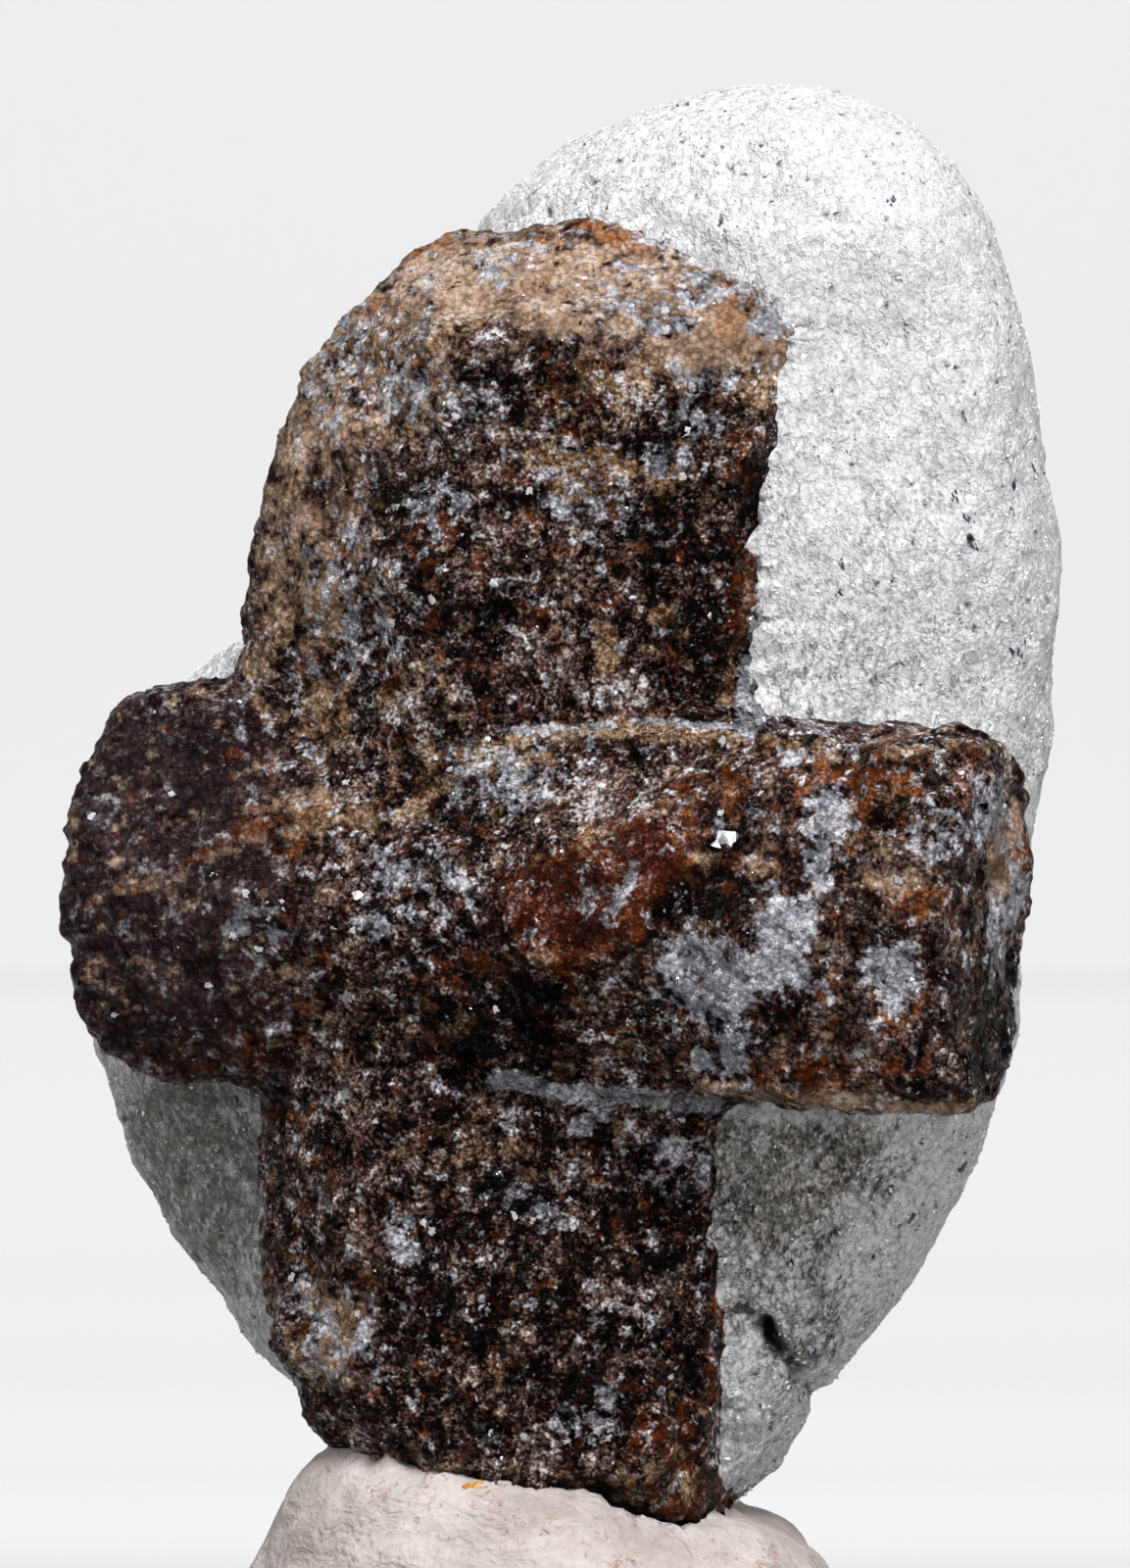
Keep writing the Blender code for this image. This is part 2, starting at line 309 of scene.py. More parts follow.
def shades(*stops):
    """The stops of a ramp, each given by its value, red, green and blue."""
    return [(value, color(*parts)) for value, *parts in stops]


def new_material(name):
    """A material, a Paint to build its nodes with, and its Principled shader."""
    material = bpy.data.materials.new(name)
    material.use_nodes = True
    return material, Paint(material.node_tree), material.node_tree.nodes["Principled BSDF"]


def fill(paint, shader, values):
    """Sets the shader's inputs, or links them where the value is a Paint."""
    for name, value in values.items():
        if isinstance(value, Paint):
            paint.tree.links.new(value.socket, shader.inputs[name])
        else:
            shader.inputs[name].default_value = value


def bumps(paint, height, strength=1.0):
    """A normal for a fine relief of that height in millimetres."""
    return paint.node("Bump", {}, {"Strength": strength, "Distance": MM, "Height": height})


def sparkle(paint, shader, glassy, values):
    """Gives the grains that glassy marks a clear hard shine, and leaves the others as they are."""
    glass = paint.node("BsdfPrincipled", {}, values)
    both = {0: glassy, 1: Paint(paint.tree, shader.outputs[0]), 2: glass}
    mixed = paint.node("MixShader", {}, both)
    paint.tree.links.new(mixed.socket, paint.tree.nodes["Material Output"].inputs["Surface"])


def stored(paint, name):
    """The three values that write_values stored under that name."""
    return paint.node("Attribute", {"attribute_name": name}, {}).channels()


def here(paint, stretch=(1.0, 1.0, 1.0)):
    """The place on the piece in millimetres, squeezed by stretch so that grains grow along it."""
    scale = tuple(1.0 / (MM * s) for s in stretch)
    return paint.node("TexCoord", {}, {}, out=3).vector("MULTIPLY", scale)


def coordinate(paint, axis):
    """The place on the piece along one axis, in millimetres: 0 is x, 1 is y and 2 is z."""
    return paint.node("SeparateXYZ", {}, {0: here(paint)}, out=axis)


def cloud(place, size, detail):
    """Three independent cloudy values of about that size, each around 0.5."""
    sockets = {"Vector": place, "Scale": 1.0 / size, "Detail": detail, "Roughness": 0.6}
    return place.node("TexNoise", {}, sockets, out=1)


def jog(place, cloud_value, reach):
    """The place moved about by a cloud, to make what is looked up there ragged."""
    push = cloud_value.vector("SUBTRACT", (0.5, 0.5, 0.5)).vector("MULTIPLY", (reach, reach, reach))
    return place.vector("ADD", push)


def grains(place, size):
    """Random grains: three values for each, how deep in a crevice between them, and a height in
    mm, domed and tilted anew on each grain."""
    tint = place.node("TexVoronoi", {}, {"Vector": place, "Scale": 1.0 / size}, out=1)
    tilt = tint.vector("SUBTRACT", (0.5, 0.5, 0.5))
    lift = place.vector("SUBTRACT", tint.other("Position")).vector("DOT_PRODUCT", tilt, out=1)
    away = tint.other("Distance")
    return *tint.channels(), away.rise(0.35, 0.80), lift - away * away * (0.25 * size)


def blotch(share, *wobbles):
    """1 where a stain is thick and 0 where there is none, with an edge that wobbles softly. Each
    wobble is a cloudy value around 0.5 and its weight."""
    for value, weight in wobbles:
        share = share + value * weight - 0.5 * weight
    return share.rise(0.32, 0.78)


# The size of the mesh's cells in mm, about how many triangles it keeps, and the size of the single
# grains on its faces in mm.
TWIN_CELL = 0.115
TWIN_TRIANGLES = 190000
FACE_GRAIN = 0.14
# How far off the schist still counts, in mm, and the share of the relief that is left under it.
SCHIST_NEAR = 0.9
COVERED = 0.6

# The end of the left arm starts at the first x in mm and has its own look in full at the second.
LEFT_END = (-5.5, -7.5)

# What the faces carry, laid where the photo shows it. Each patch gives x and z in mm as seen from
# the front, its half width and half height in mm, and an amount from 0 to 1 or a little more.
# The tables run from the top down. The first is the grey quartz film and its grains.
QUARTZ_PATCHES = [
    (2.6, 33.2, 0.6, 0.5, 0.9), (-6.4, 32.6, 0.8, 0.8, 0.4), (-1.2, 32.6, 1.4, 0.4, 0.5),
    (3.4, 32.0, 0.9, 0.5, 0.6), (1.6, 31.6, 1.2, 0.4, 0.45), (4.4, 31.3, 0.5, 0.7, 0.9),
    (-4.0, 30.4, 1.2, 1.2, 0.4), (3.2, 29.9, 0.9, 0.5, 0.5), (-1.6, 29.3, 0.7, 0.6, 0.5),
    (-5.3, 29.3, 0.5, 0.8, 0.5), (-2.6, 29.2, 0.8, 0.6, 0.5), (2.9, 28.6, 0.7, 0.9, 0.55),
    (0.9, 27.4, 1.2, 0.7, 0.45), (-2.7, 26.9, 0.9, 0.5, 0.45), (-5.2, 25.3, 0.4, 0.7, 0.6),
    (-4.5, 25.0, 0.9, 2.0, 0.35), (-3.4, 24.7, 0.4, 0.5, 0.35), (5.4, 21.5, 0.35, 0.2, 1.0),
    (-1.4, 21.2, 1.5, 0.6, 0.55), (9.5, 20.4, 0.5, 0.9, 0.7), (5.85, 20.15, 0.6, 0.6, 0.95),
    (8.2, 19.8, 0.7, 0.6, 0.6), (3.5, 19.75, 0.25, 0.22, 1.6), (5.5, 18.9, 0.5, 0.8, 0.9),
    (-2.9, 18.9, 1.2, 0.7, 0.45), (0.7, 18.4, 0.6, 0.5, 0.4), (9.7, 18.3, 0.5, 0.9, 1.0),
    (-4.2, 18.1, 0.5, 0.5, 0.75), (9.5, 17.6, 0.5, 1.0, 0.4), (-6.6, 17.6, 0.7, 0.8, 0.4),
    (3.2, 17.6, 0.8, 0.6, 0.2), (4.8, 17.4, 0.9, 0.9, 1.0), (3.3, 16.6, 1.2, 0.7, 1.0),
    (7.5, 16.5, 0.6, 1.1, 1.0), (3.6, 15.3, 0.4, 0.5, 0.9), (0.7, 13.2, 0.9, 0.4, 0.5),
    (2.7, 12.6, 1.6, 0.7, 0.4), (-0.6, 11.6, 0.9, 0.6, 0.45), (-3.3, 11.0, 0.6, 0.9, 0.6),
    (-5.1, 8.9, 0.9, 1.2, 0.5), (1.4, 8.9, 0.7, 0.6, 0.35), (0.7, 6.6, 0.9, 0.6, 0.4),
    (-1.4, 6.6, 0.5, 0.5, 0.5)]
OCHRE_PATCHES = [
    (-0.4, 32.0, 3.8, 1.2, 0.75), (3.8, 31.2, 0.6, 0.6, 1.3), (-3.8, 31.0, 1.6, 1.3, 0.7),
    (3.9, 30.9, 1.2, 0.8, 0.8), (3.0, 30.2, 1.4, 0.7, 1.0), (1.7, 30.0, 1.7, 0.7, 0.5),
    (-3.4, 29.2, 0.8, 0.8, 0.6), (0.6, 28.3, 1.2, 0.35, 0.75), (-5.6, 28.0, 1.4, 3.8, 0.52),
    (1.0, 27.8, 1.2, 0.6, 0.85), (-6.1, 27.2, 0.5, 2.3, 0.5), (2.3, 24.6, 0.4, 0.4, 0.8),
    (-5.3, 24.6, 0.6, 0.8, 0.8), (1.7, 24.0, 1.2, 0.6, 0.4), (-6.7, 24.0, 0.5, 1.6, 0.45),
    (0.8, 24.0, 0.5, 0.5, 0.8), (-3.2, 22.8, 0.9, 1.0, 0.4), (-5.3, 22.4, 0.6, 0.7, 0.7),
    (-1.8, 21.4, 1.6, 0.5, 0.45), (-5.9, 20.5, 0.3, 0.3, 1.2), (-5.75, 20.4, 0.8, 0.5, 0.8),
    (-3.9, 20.3, 1.1, 0.3, 0.45), (9.8, 19.6, 0.4, 1.1, 0.9), (3.9, 19.4, 0.7, 0.4, 0.35),
    (7.0, 19.1, 0.8, 0.4, 0.5), (0.8, 18.9, 1.4, 1.3, 0.25), (-2.6, 16.0, 0.8, 1.5, 0.3),
    (-2.0, 13.1, 0.9, 1.3, 0.3), (-5.1, 8.6, 0.8, 1.2, 0.65), (-3.2, 6.1, 0.7, 0.5, 0.5),
    (2.1, 5.5, 0.8, 0.6, 0.6)]
RUST_PATCHES = [
    (0.75, 33.2, 0.3, 0.2, 1.0), (2.4, 33.1, 1.6, 0.5, 0.9), (-3.4, 32.9, 1.6, 0.4, 0.7),
    (3.7, 31.5, 0.4, 0.4, 1.0), (0.4, 29.6, 1.6, 0.7, 0.25), (4.1, 26.4, 0.4, 4.6, 0.35),
    (-2.9, 26.3, 0.6, 0.6, 0.7), (6.6, 21.2, 3.4, 0.8, 0.45), (3.0, 20.6, 0.8, 0.7, 0.7),
    (-5.2, 20.0, 1.6, 0.4, 0.5), (10.1, 19.3, 0.4, 0.7, 0.8), (1.9, 19.2, 0.9, 0.9, 1.1),
    (8.0, 18.5, 0.9, 0.4, 0.6), (0.4, 18.3, 1.6, 1.1, 1.3), (-1.9, 17.2, 1.0, 0.5, 0.5),
    (7.2, 15.4, 0.6, 0.9, 0.45), (-8.0, 14.8, 1.6, 0.6, 0.4), (5.5, 14.7, 1.2, 0.6, 0.6),
    (2.2, 6.2, 0.8, 1.4, 0.6), (3.0, 5.0, 0.7, 1.2, 0.7)]
# Where the bare crystal is darkest: partly darker crystal, partly painted shade under the
# crossbar, below the red plate's edge and on the left arm's upper face.
DARKER_AND_SHADED_PATCHES = [
    (-0.6, 29.4, 1.3, 0.8, 0.5), (-1.0, 26.8, 0.6, 0.6, 0.8), (-5.3, 26.8, 0.5, 0.7, 0.6),
    (2.3, 26.7, 0.6, 0.8, 0.9), (-3.2, 25.8, 0.5, 0.5, 0.7), (4.0, 25.6, 0.5, 3.4, 0.5),
    (2.6, 25.2, 1.1, 2.8, 0.6), (-2.1, 24.1, 0.8, 1.1, 0.9), (-8.6, 21.2, 1.8, 0.9, 0.5),
    (-3.2, 21.0, 1.2, 0.6, 0.4), (3.4, 20.2, 0.5, 0.5, 0.5), (3.3, 18.9, 0.7, 0.7, 0.9),
    (-5.3, 18.0, 0.6, 0.6, 0.6), (6.9, 17.6, 0.5, 0.9, 0.5), (0.1, 16.9, 0.7, 0.3, 0.6),
    (-1.6, 15.6, 1.7, 1.3, 0.7), (9.3, 15.6, 0.7, 1.6, 0.8), (-4.0, 10.9, 0.6, 0.6, 0.5),
    (-0.8, 9.0, 5.5, 5.5, 0.3), (0.8, 8.4, 1.8, 2.0, 0.3), (2.4, 8.2, 0.8, 0.8, 0.7),
    (3.6, 4.9, 0.5, 0.4, 0.9), (0.0, 4.9, 3.2, 0.6, 0.7)]
# The red growth plate.
PLATE_PATCHES = [(0.2, 18.3, 1.45, 1.0, 1.0), (1.9, 19.3, 0.9, 0.8, 1.0)]
# Worn is where the faces are paler and calmer, as at the left arm, the top and the right side.
WORN_PATCHES = [
    (-0.8, 32.0, 4.5, 1.4, 1.0), (3.4, 30.8, 1.5, 1.1, 1.0), (-3.4, 29.4, 1.0, 1.0, 0.7),
    (-5.6, 27.5, 1.5, 4.0, 0.7), (-5.7, 20.4, 0.7, 0.5, 0.7), (9.9, 19.5, 0.5, 1.5, 0.7),
    (-9.0, 18.5, 3.4, 5.0, 1.0), (6.0, 18.0, 4.0, 3.5, 0.35), (7.4, 13.9, 2.5, 0.3, 0.7),
    (-5.0, 9.2, 1.2, 1.6, 0.5)]
# The same along rims and ridges: their points in x and z, half width in mm and amount.
OCHRE_RIMS = [
    ([(4.4, 29.4), (5.2, 30.7), (4.0, 32.0)], 0.25, 0.8), ([(3.6, 22.3), (4.2, 26.0)], 0.14, 0.6),
    ([(-6.1, 19.9), (-3.7, 20.2), (-2.6, 20.8), (-0.9, 21.9), (1.5, 22.1), (4.1, 22.0)], 0.14, 1.0),
    ([(4.1, 22.0), (6.1, 21.6), (9.6, 21.8)], 0.12, 0.6),
    ([(-6.1, 19.9), (-9.6, 18.6)], 0.16, 0.35),
    ([(-1.1, 18.0), (-0.8, 17.25), (-0.2, 17.15), (1.1, 17.3), (1.6, 17.7)], 0.09, 0.5),
    ([(3.2, 14.3), (5.4, 14.1), (9.3, 13.7)], 0.22, 0.9)]
RUST_RIMS = [
    ([(-0.8, 33.4), (0.7, 33.4), (2.9, 32.9), (4.2, 31.6)], 0.16, 0.9),
    ([(-4.6, 20.3), (-6.1, 20.1), (-9.4, 18.6)], 0.13, 0.9),
    ([(-6.0, 14.0), (-5.6, 10.0)], 0.2, 0.4), ([(3.4, 9.6), (3.4, 7.0)], 0.22, 0.7)]
QUARTZ_RIMS = [
    ([(4.45, 24.4), (4.65, 26.8)], 0.13, 1.2), ([(4.2, 22.3), (4.45, 24.4)], 0.3, 1.4),
    ([(-1.0, 22.05), (1.5, 22.25), (4.4, 22.25)], 0.09, 0.95),
    ([(0.8, 17.9), (1.3, 18.5), (1.6, 19.2)], 0.14, 0.75),
    ([(-1.4, 14.35), (3.4, 13.8)], 0.24, 1.0)]
# Lines that stand up from the faces: the crossbar's rims, the ridges of its arms, and the edge
# of the red plate.
RAISED_RIMS = [
    ([(-2.6, 20.9), (-0.9, 21.85), (1.5, 22.0), (4.1, 21.95), (6.1, 21.6), (9.6, 21.7)], 0.14, 1.0),
    ([(-6.1, 20.1), (-3.7, 20.2), (-2.6, 20.8)], 0.2, 0.7),
    ([(-6.1, 20.1), (-9.6, 18.7), (-10.7, 17.9)], 0.22, 0.8),
    ([(-1.1, 18.0), (-0.8, 17.25), (-0.2, 17.15), (1.1, 17.3), (1.6, 17.7)], 0.14, 1.0),
    ([(3.2, 14.45), (5.4, 14.25), (9.3, 13.85)], 0.14, 0.7)]
RIM_HEIGHT = 0.16
# The lowest corner, which stands in the putty: where it is, how far round it the stone is drawn
# down, and by how much.
TIP = (3.0, 4.8)
TIP_REACH = 1.7
TIP_DROP = 0.28
# The colours of each finish from its darkest grains to its lightest, each at a value of the tone.
BARE = shades((0.0, 2, 0, 0), (0.15, 16, 6, 5), (0.35, 43, 26, 23), (0.7, 106, 86, 79),
              (1.0, 184, 174, 171))
BARE_LEFT = shades((0.0, 10, 5, 7), (0.5, 56, 43, 45), (1.0, 136, 123, 125))
RUST = shades((0.0, 24, 7, 3), (0.5, 98, 50, 24), (1.0, 180, 122, 74))
OCHRE = shades((0.0, 68, 44, 26), (0.5, 154, 123, 95), (1.0, 220, 201, 182))
OCHRE_WORN = shades((0.0, 82, 56, 40), (0.5, 172, 144, 122), (1.0, 230, 214, 202))
QUARTZ_FILM = shades((0.0, 36, 36, 41), (0.5, 143, 144, 152), (1.0, 240, 241, 249))
PLATE = shades((0.0, 20, 3, 3), (0.5, 64, 24, 18), (1.0, 150, 100, 86))
# Painted shade between grains, pale specks of painted glint, and white grains partly painted as
# glints.
CREVICE_SHADE = color(2, 0, 0)
GLINT_SPECKS = color(190, 184, 186)
SALT_AND_GLINT = color(225, 224, 230)


def hang(points):
    """Draws the stone's lowest corner down a little."""
    away = np.hypot(points[:, 0] - TIP[0], points[:, 2] - TIP[1]) / TIP_REACH
    points[:, 2] -= TIP_DROP * np.clip(1.0 - away, 0.0, 1.0)


def twin_relief(points, share):
    """Roughness of the faces: lumps, seated grains and pits, in millimetres."""
    lumps = 0.08 * haze(points, 1.1, 3) + 0.06 * haze(points, 0.5, 4)
    seated = seated_grains(points, 0.46, 11, height=0.17, middle=0.35, edge=1.15, fall=1.8)
    seated += seated_grains(points, 0.26, 23, height=0.10, middle=0.3, edge=1.15, fall=1.8)
    pits = -0.12 * np.clip(haze(points, 0.8, 5) * 3.0 - 1.4, 0.0, 1.0)
    return (lumps + seated + pits) * share


def stain(points, normals, patches, rims, seeds, size, least, most):
    """How much of a stain there is: laid as listed in front, and in random blotches of about that
    size behind. The seeds are those of the patches, the rims and the blotches."""
    laid = np.maximum(spots(points, normals, patches, seeds[0]),
                      strokes(points, normals, rims, seeds[1]))
    behind = np.clip(0.4 + 2.0 * normals[:, 1], 0.0, 1.0)
    return laid + behind * np.clip(haze(points, size, seeds[2]) - least, 0.0, most)


def staurolite_material():
    """Dark crystal grain, overlaid in turn by rust, ochre, the quartz film, the red plate, painted
    shade in the crevices, pale specks of painted glint and salt-like grains that are partly painted
    glints. The tone is the light and dark of single grains, with painted shade in the darker
    patches; it runs through them all."""
    material, paint, shader = new_material("staurolite")
    quartz, ochre, rust = stored(paint, "stain")
    darker_and_shaded, plate, worn = stored(paint, "darker_and_shaded")
    left = coordinate(paint, 0).rise(*LEFT_END)

    # Clouds from the broadest to the finest, then single grains with ragged edges.
    place = here(paint)
    broad, _, _ = cloud(place, 1.5, 2.0).channels()
    slow_x, slow_y, slow_z = cloud(place, 0.6, 3.0).channels()
    mid_x, mid_y, mid_z = cloud(place, 0.3, 2.0).channels()
    fast = cloud(place, 0.075, 3.0)
    fast_x, fast_y, _ = fast.channels()
    tint_x, tint_y, tint_z, crevice_shade, lift = grains(jog(place, fast, 0.16), FACE_GRAIN)

    # The bare crystal, streaked and more purple at the left arm's end, darkened by painted shade
    # in the crevices between grains and in the shaded patches.
    streak, _, _ = cloud(here(paint, (0.3, 0.7, 1.7)), 0.22, 3.0).channels()
    fine = fast_x * (1.4 - worn) + worn * 0.5 + (streak - 0.5) * left
    tone = fine + tint_x * 0.25 + mid_z * 0.8 + slow_x * 1.5 + broad
    tone = (tone - crevice_shade * 0.25 - darker_and_shaded * 0.35).rise(2.00, 2.86)
    tone = tone * (1.0 - worn * 0.5) + worn * (0.24 - left * 0.1)
    finish = tone.ramp(*BARE)

    # Rust, with less contrast than the bare crystal.
    soft = tone * 0.7 + 0.1 + worn * (1.0 - left) * 0.35
    rusty = blotch(rust * 0.8 + 0.1, (slow_z, 2.8), (mid_z, 1.0), (tint_y, 0.15))
    finish = rusty.mix(finish, soft.ramp(*RUST))
    finish = (left * (0.75 - rusty * 0.5)).mix(finish, tone.ramp(*BARE_LEFT))

    # Ochre, paler where the faces are worn.
    tan = worn.mix(tone.ramp(*OCHRE), tone.ramp(*OCHRE_WORN))
    tanned = blotch(ochre + 0.08 - darker_and_shaded * 0.2, (slow_y, 2.8), (mid_y, 1.2), (tint_z, 0.15))
    finish = (tanned * (0.92 - rusty * 0.5)).mix(finish, tan)

    # The grey quartz film, in clumps and in small specks between them.
    thick = tone * (1.0 - quartz * 0.4) + quartz * 0.3
    clumps = blotch(quartz + 0.05 - darker_and_shaded * 0.3, (slow_x, 1.8), (slow_y, -1.8), (mid_x, 1.6),
                    (tint_x, 0.2))
    specks = (mid_x * 1.2 + tint_z * 0.12 - darker_and_shaded * 0.05 - worn * 0.05).rise(0.80, 0.88)
    filmed = clumps.math("MAXIMUM", specks)
    finish = (filmed * (0.9 - darker_and_shaded * 0.3 - left * 0.3)).mix(finish, thick.ramp(*QUARTZ_FILM))

    # The red plate, painted shade in the crevices between grains, pale specks of painted glint,
    # and grains like spilt salt, partly painted glints.
    finish = (plate * (0.9 - filmed * 0.5)).mix(finish, soft.ramp(*PLATE))
    finish = (crevice_shade * 0.35).mix(finish, CREVICE_SHADE)
    # Pale specks of painted glint.
    finish = (fast_y.rise(0.71, 0.79) * (0.5 - worn * 0.4)).mix(finish, GLINT_SPECKS)
    # White salt-like grains, partly painted glints, which also get the hard shine.
    salt_and_glint = tint_y > (0.998 - quartz * 0.05)
    finish = (salt_and_glint * 0.6).mix(finish, SALT_AND_GLINT)

    # Fine relief, lower where the faces are worn, and a hard shine on the glassy grains.
    bump = bumps(paint, (lift + fast_x * 0.1) * (1.0 - worn * 0.4))
    fill(paint, shader, {"Base Color": finish, "Roughness": 0.3, "Normal": bump,
                         "Specular IOR Level": 0.04})
    glassy = salt_and_glint.math("MAXIMUM", filmed * 0.4).math("MAXIMUM", (tint_z > 0.85) * 0.6)
    sparkle(paint, shader, glassy, {"Base Color": finish, "Roughness": 0.1, "Normal": bump})
    return material


twin = fine_copy("staurolite_twin", "staurolite_crystals", TWIN_CELL, softening=4)
schist_solid = surface(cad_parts["schist_matrix"])

# The relief, which is lower where the schist hides it, as is the number of faces.
points, normals = places(twin)
gap, _ = clearance(points, schist_solid, SCHIST_NEAR)
twin_open = in_the_open(gap)
rims = RIM_HEIGHT * strokes(points, normals, RAISED_RIMS, 55)
points = shuffled(points, normals, TWIN_CELL, 2)
points += normals * (twin_relief(points, COVERED + (1.0 - COVERED) * twin_open) + rims)[:, None]
hang(points)
move(twin, points)
thin_hidden(twin, twin_open, TWIN_TRIANGLES)

# The stains, with more of the quartz film along the seam with the schist.
points, normals = places(twin)
gap, _ = clearance(points, schist_solid, SCHIST_NEAR)
quartz_share = stain(points, normals, QUARTZ_PATCHES, QUARTZ_RIMS, (41, 45, 42),
                     size=2.2, least=0.2, most=0.5)
quartz_share += np.clip(0.6 - gap / 0.25 + 1.5 * haze(points, 0.5, 43), 0.0, 0.9)
ochre_share = stain(points, normals, OCHRE_PATCHES, OCHRE_RIMS, (51, 53, 52),
                    size=2.6, least=0.2, most=0.5)
rust_share = stain(points, normals, RUST_PATCHES, RUST_RIMS, (61, 63, 62),
                   size=2.0, least=0.0, most=0.6)
write_values(twin, "stain", quartz_share, ochre_share, rust_share)
# Darker crystal and painted shade, the red plate, and the worn faces.
darker_and_shaded_share = spots(points, normals, DARKER_AND_SHADED_PATCHES, 71)
plate_share = spots(points, normals, PLATE_PATCHES, 73, 0.2)
worn_share = spots(points, normals, WORN_PATCHES, 75)
write_values(twin, "darker_and_shaded", darker_and_shaded_share, plate_share, worn_share)
twin.data.materials.append(staurolite_material())
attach(twin, "root")
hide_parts("staurolite_twin")
twin_surface = surface(twin)

# Quartz grains on the twin
# Glassy crumbs of the schist's quartz, half sunk in the crystal faces, thickest where the schist
# still clings to them. A few are large.

# The large ones: x, z and radius in mm, as seen from the front.
LARGE_GRAINS = [(3.51, 19.75, 0.24), (-4.7, 16.25, 0.14), (-3.7, 16.25, 0.12), (-1.75, 11.0, 0.13),
                (-2.6, 12.8, 0.12), (3.0, 10.3, 0.13), (-1.1, 25.3, 0.11), (2.1, 29.1, 0.12),
                (-3.3, 24.1, 0.12), (1.2, 22.9, 0.11), (-5.0, 14.1, 0.11), (0.9, 14.9, 0.1)]
GRAIN_COUNT = 20000


def crumbs(name, centres, outward, radii, seed, across=(0.55, 1.0), beside=None):
    """Many small angular crumbs joined in one mesh: a jagged octahedron lying at each centre."""
    dice = np.random.default_rng(seed)
    corners = np.vstack([np.eye(3), -np.eye(3)])
    sides = np.array([(0, 1, 2), (1, 3, 2), (3, 4, 2), (4, 0, 2), (1, 0, 5), (3, 1, 5), (4, 3, 5),
                      (0, 4, 5)])
    count = len(centres)

    # Each crumb's own axes: along its length, across it, and out of the surface.
    if beside is None:
        beside = dice.normal(size=(count, 3))
    along = np.cross(outward, beside)
    along /= np.linalg.norm(along, axis=1)[:, None]
    turn = np.stack([along, np.cross(outward, along), outward], axis=1)

    # Its corners at half its length, width and thickness, each pushed about at random.
    size = radii[:, None] * np.stack([np.ones(count), dice.uniform(*across, count),
                                      dice.uniform(0.35, 0.7, count)], axis=1)
    body = corners[None] * dice.uniform(0.7, 1.1, (count, len(corners), 1)) * size[:, None]
    body += dice.normal(0.0, 0.18, body.shape) * radii[:, None, None]
    body = np.einsum("nvi,nij->nvj", body, turn) + centres[:, None]
    faces = sides[None] + (np.arange(count) * len(corners))[:, None, None]
    mesh = bpy.data.meshes.new(name)
    mesh.from_pydata((body.reshape(-1, 3) * MM).tolist(), [], faces.reshape(-1, 3).tolist())
    piece = bpy.data.objects.new(name, mesh)
    bpy.context.scene.collection.objects.link(piece)
    return piece


def sown(weight, count, seed):
    """Picks that many vertices at random, more often where the weight is high."""
    dice = np.random.default_rng(seed)
    return dice.choice(len(weight), size=count, replace=False, p=weight / weight.sum()), dice


def on_front(tree, marks):
    """Where marks, each x, z and a radius, lie on a surface seen from the front: the points, the
    normals there and the radii."""
    hits = [tree.ray_cast(Vector((x, -50.0, z)), Vector((0.0, 1.0, 0.0))) for x, z, _ in marks]
    radii = [radius for _, _, radius in marks]
    return np.array([hit[0] for hit in hits]), np.array([hit[1] for hit in hits]), np.array(radii)


def crumb_material(name, size, detail, edges, dark, light, values):
    """A material for crumbs: cloudy, between a dark and a light colour."""
    material, paint, shader = new_material(name)
    tint, _, _ = cloud(here(paint), size, detail).channels()
    finish = tint.rise(*edges).mix(color(*dark), color(*light))
    fill(paint, shader, {"Base Color": finish, **values})
    return material


# Crumbs lie where the film is thick and along the seam with the schist, but not inside it, and
# they are rare at the end of the left arm.
weight = np.clip(quartz_share + 0.7 * haze(points, 0.6, 103) - 0.2, 0.01, 1.0)
weight += 2.0 * np.clip(0.6 * haze(points, 0.5, 104) + 0.9 - gap / 0.35, 0.0, 1.0)
weight *= np.clip((gap - 0.1) / 0.1, 0.0, 1.0)
weight *= np.clip((points[:, 0] + 9.5) / 3.0, 0.1, 1.0)
chosen, dice = sown(weight, GRAIN_COUNT, 101)
large, large_out, large_radii = on_front(twin_surface, LARGE_GRAINS)
spot = np.vstack([large, points[chosen]])
out = np.vstack([large_out, normals[chosen]])
radii = np.concatenate([large_radii, 0.02 + 0.07 * dice.random(GRAIN_COUNT) ** 5])
crumb = crumbs("quartz_crumbs", spot, out, radii, 102)
crumb.data.materials.append(crumb_material(
    "quartz_crumbs", 0.3, 2.0, (0.35, 0.65), (130, 128, 135), (212, 210, 217),
    {"Roughness": 0.12, "IOR": 1.54, "Transmission Weight": 0.75}))
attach(crumb, "root")

# The schist
# Fine white to grey quartz, sugary and slightly glassy, with small dark mica lying along the
# layers. It is a rounded lump that closes on the crystals with no gap.

SCHIST_CELL = 0.125
SCHIST_TRIANGLES = 192000
SCHIST_GRAIN = 0.13
# Where the schist is darker and coarser, as patches on the front: partly greyer stone, partly
# painted shade under the crossbar and at the lower left.
GREY_AND_SHADE_PATCHES = [
    (9.8, 26.6, 0.9, 3.0, 0.12), (-7.6, 23.6, 1.0, 0.7, 0.2), (5.6, 23.4, 0.8, 1.0, 0.35),
    (7.6, 22.9, 1.5, 0.6, 0.3), (4.8, 12.4, 2.4, 2.2, 0.85), (-8.4, 12.0, 2.4, 3.4, 0.75),
    (5.0, 10.4, 2.0, 2.8, 0.55), (4.3, 7.0, 1.4, 2.4, 0.3), (4.0, 4.6, 1.4, 0.7, 0.9)]
# The layers lean over in the lower part: x gained by each mm of height below this level.
LEAN_BELOW = 15.0
LEAN = 0.5
# Its look changes over these stretches, in mm: to the right side's look along x, to the calmer
# top's along z. On the sides and the back it gets greyer below the last height.
RIGHT_SIDE = (-2.0, 3.0)
CALM_TOP = (24.0, 34.0)
LOW_BELOW = 14.0
